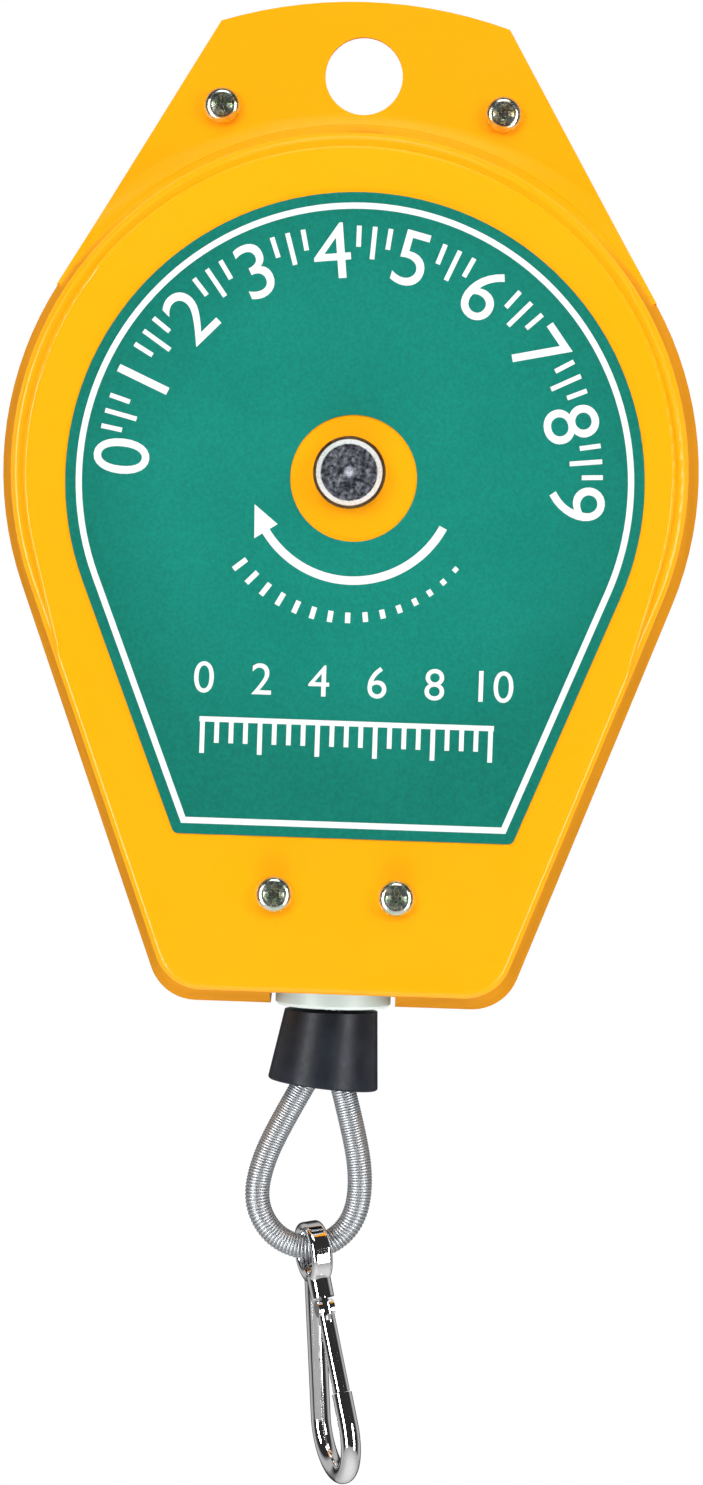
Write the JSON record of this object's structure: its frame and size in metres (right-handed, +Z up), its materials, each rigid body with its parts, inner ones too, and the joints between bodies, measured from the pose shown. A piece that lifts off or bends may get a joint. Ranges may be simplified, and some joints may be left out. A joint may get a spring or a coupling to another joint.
{
  "type": "spring tool balancer",
  "caption": "Hanging spring balancer: a two-shell sheet housing with a tapered rope drum, a wound spring, a ratchet, and a wire rope loop with a snap hook.",
  "frame": {"origin": "centre of the hanging hole, on the parting plane of the two housing halves", "axes": "+Z up, -Y out of the front face along the hanging hole, +X to the right seen from the front"},
  "size_m": [0.135, 0.0634, 0.2883],
  "materials": {
    "yellow_paint": "smooth semi-gloss powder coat",
    "label_foil": "printed foil",
    "zinc_steel": "zinc plated steel",
    "steel": "turned steel",
    "spring_steel": "blued spring steel",
    "die_cast": "die-cast",
    "bronze": "sintered bronze",
    "nylon": "moulded nylon",
    "rope_wire": "stranded galvanised wire rope",
    "sheath_wire": "close-wound wire",
    "black_rubber": "matt moulded rubber",
    "chrome": "polished chrome plate"
  },
  "bodies": {
    "housing": {"front_shell": "yellow_paint", "rear_shell": "yellow_paint", "front_label": "label_foil", "top_screws": "zinc_steel", "bottom_screws": "zinc_steel", "housing_nuts": "zinc_steel", "shaft_bushes": "bronze", "pawl_pivot": "zinc_steel", "rope_guide": "nylon"},
    "drum_set": {"drum": "die_cast", "drum_cover": "die_cast", "cover_screws": "zinc_steel", "drum_bushes": "bronze", "wound_rope": "rope_wire", "power_spring": "spring_steel"},
    "shaft_set": {"shaft": "steel", "ratchet_wheel": "zinc_steel", "rear_washer": "zinc_steel", "retaining_clip": "spring_steel"},
    "pawl": {"pawl": "zinc_steel"},
    "rope_end": {"lead_rope": "rope_wire", "ferrule": "die_cast", "rubber_stop": "black_rubber", "rope_loop": "sheath_wire"},
    "hook": {"snap_hook": "chrome", "gate_rivet": "chrome"},
    "gate": {"hook_gate": "chrome"}
  },
  "joints": [
    {"name": "drum_spin", "type": "hinge", "parent": "housing", "child": "drum_set", "pos_m": [0, 0, -0.0766], "axis": [0, -1, 0], "range_deg": [0, 1773], "stiffness_Nm_per_rad": 0.027, "springref_deg": -2664.25, "deforming": ["power_spring"]},
    {"name": "rope_pull", "type": "slide", "parent": "housing", "child": "rope_end", "axis": [0, 0, -1], "range_m": [0, 1.3], "deforming": ["lead_rope"]},
    {"name": "shaft_turn", "type": "hinge", "parent": "housing", "child": "shaft_set", "pos_m": [0, 0, -0.0766], "axis": [0, 1, 0], "range_deg": [0, 30]},
    {"name": "pawl_lift", "type": "hinge", "parent": "housing", "child": "pawl", "pos_m": [0.0205, 0.0253, -0.0631], "axis": [0, -1, 0], "range_deg": [0, 10], "stiffness_Nm_per_rad": 0.01, "springref_deg": -17.19},
    {"name": "hook_swing", "type": "hinge", "parent": "rope_end", "child": "hook", "pos_m": [-0.0022, 0, -0.2276], "axis": [0.9976, 0, 0.0698], "range_deg": [-85, 85]},
    {"name": "gate_open", "type": "hinge", "parent": "hook", "child": "gate", "pos_m": [0.00043, -0.00258, -0.23927], "axis": [0.9281, 0.342, 0.147], "range_deg": [0, 26], "stiffness_Nm_per_rad": 0.02, "springref_deg": -28.65}
  ],
  "couplings": [
    {"joint": "rope_pull", "follows": "drum_spin", "m_per_rad": 0.042},
    {"joint": "pawl_lift", "follows": "shaft_turn", "ratio": 0.32}
  ]
}
